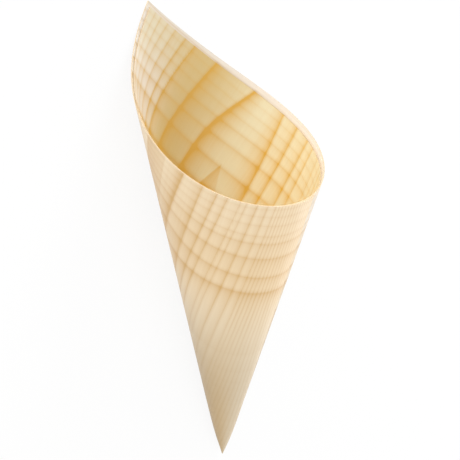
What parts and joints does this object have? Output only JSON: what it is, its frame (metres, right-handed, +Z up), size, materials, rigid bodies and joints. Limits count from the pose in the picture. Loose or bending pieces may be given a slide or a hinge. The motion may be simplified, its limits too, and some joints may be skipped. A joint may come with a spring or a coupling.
{
  "type": "wooden serving cone",
  "caption": "Pointed cone rolled from one thin pine veneer sheet, with a slanted open mouth, for serving food; lies on its side at rest.",
  "frame": {"origin": "on the ground, under the middle of the cone's outer box as it lies", "axes": "+X from the mouth's peak to the tip along the wall line that rests on the ground, +Z up, the low edge of the mouth at the top"},
  "size_m": [0.1776, 0.0688, 0.0605],
  "materials": {
    "pine_veneer": "bare, sanded, pale pine with darker growth rings"
  },
  "bodies": {
    "root": {"veneer_cone": "pine_veneer"}
  },
  "joints": []
}
